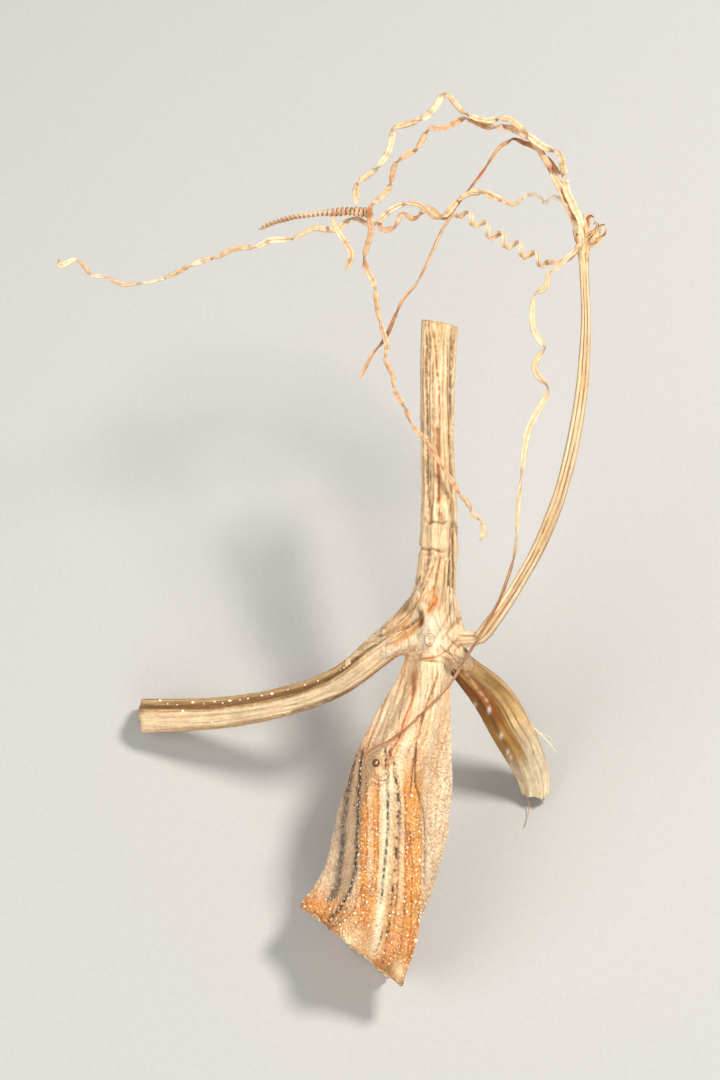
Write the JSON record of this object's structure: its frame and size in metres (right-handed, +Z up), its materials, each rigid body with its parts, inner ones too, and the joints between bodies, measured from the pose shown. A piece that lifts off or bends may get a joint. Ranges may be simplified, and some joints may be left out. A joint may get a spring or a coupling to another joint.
{
  "type": "dried squash fruit stalk with tendril",
  "caption": "Dried ribbed fruit stalk of a squash with its vine node, cut vine stubs, leaf-stalk stump and a forked, curled dry tendril.",
  "frame": {"origin": "centre of the bounding box, on the surface that the plant rests on", "axes": "+Z up from that surface, +Y from the fruit end of the ribbed stalk towards the top vine stub and tendril, +X towards the leaf-stalk stump and tendril stalk"},
  "size_m": [0.1222, 0.1784, 0.1018],
  "materials": {
    "rind_cream": "matte",
    "rind_orange": "matte",
    "rind_grey": "matte",
    "pith": "matte",
    "pith_dark": "matte",
    "scar": "matte",
    "petiole_brown": "matte",
    "petiole_cream": "matte",
    "tendril_straw": "matte",
    "tendril_pink": "matte",
    "tendril_brown": "matte",
    "resin": "glossy"
  },
  "bodies": {
    "plant": {"node_crown": "rind_cream", "bud_scar": "rind_cream", "peduncle_rib_left": "rind_grey", "peduncle_rib_front_left": "rind_orange", "peduncle_rib_front_right": "rind_orange", "peduncle_rib_right": "rind_cream", "peduncle_rib_rear": "rind_grey", "peduncle_core": "pith", "peduncle_scar": "scar", "vine_upper_rind": "rind_cream", "vine_upper_pith": "pith_dark", "vine_left_rind": "rind_cream", "vine_left_pith": "pith_dark", "petiole_half_left": "petiole_brown", "petiole_half_right": "petiole_cream", "petiole_pith": "pith", "tendril_foot": "tendril_straw"},
    "tendril": {"tendril_stalk": "tendril_straw", "tendril_fork": "tendril_brown", "fork_scales": "tendril_brown"},
    "branches": {"tendril_branch_1": "tendril_brown", "tendril_branch_2": "tendril_pink", "tendril_branch_2_tail": "tendril_pink", "tendril_branch_3": "tendril_pink", "tendril_branch_4": "tendril_straw", "tendril_branch_5_root": "tendril_pink", "tendril_branch_5_screw": "tendril_pink", "tendril_branch_5_loops": "tendril_pink", "tendril_coil": "tendril_pink"},
    "hanging_branch": {"tendril_branch_6": "tendril_brown", "tendril_tip_bead": "resin"}
  },
  "joints": [
    {"name": "tendril_foot_flex", "type": "hinge", "parent": "plant", "child": "tendril", "pos_m": [0.03257, -0.01931, 0.04723], "axis": [0, -0.4226, 0.9063], "range_deg": [-4, 4], "stiffness_Nm_per_rad": 0.03},
    {"name": "tendril_fork_flex", "type": "hinge", "parent": "tendril", "child": "branches", "pos_m": [0.05584, 0.05939, 0.08663], "axis": [0, -0.4226, 0.9063], "range_deg": [-4, 4], "stiffness_Nm_per_rad": 0.01},
    {"name": "hanging_branch_flex", "type": "hinge", "parent": "tendril", "child": "hanging_branch", "pos_m": [0.05584, 0.05939, 0.08663], "axis": [0, -0.4226, 0.9063], "range_deg": [-3, 3], "stiffness_Nm_per_rad": 0.003}
  ]
}
